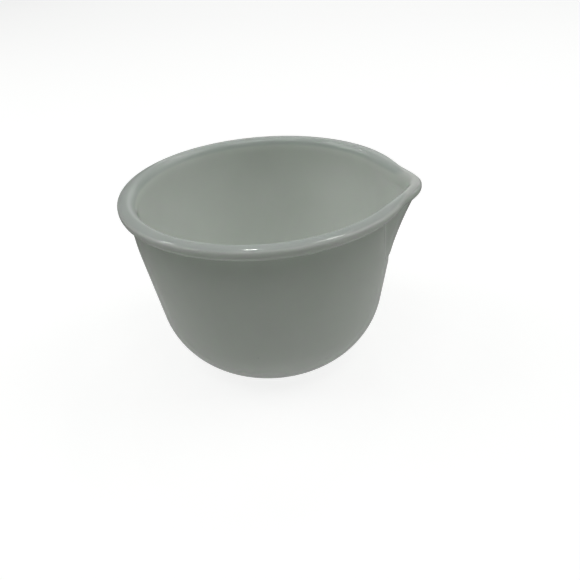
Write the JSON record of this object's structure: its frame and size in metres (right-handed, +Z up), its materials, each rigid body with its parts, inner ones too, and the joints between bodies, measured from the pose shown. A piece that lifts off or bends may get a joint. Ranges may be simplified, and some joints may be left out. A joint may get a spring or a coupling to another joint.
{
  "type": "mixing bowl with pouring spout",
  "caption": "Small round mixing bowl of opaque white glass with a rolled rim and a pouring spout, moulded in one piece.",
  "frame": {"origin": "centre of the round foot, in the plane that the foot rests on", "axes": "+Z up along the bowl's axis, +X from the axis to the tip of the pouring spout, +Y to the left of the spout"},
  "size_m": [0.1722, 0.165, 0.1036],
  "materials": {
    "opal_glass": "glossy opaque white opal glass, with the faint grey-green cast of the glass"
  },
  "bodies": {
    "root": {"bowl": "opal_glass"}
  },
  "joints": []
}
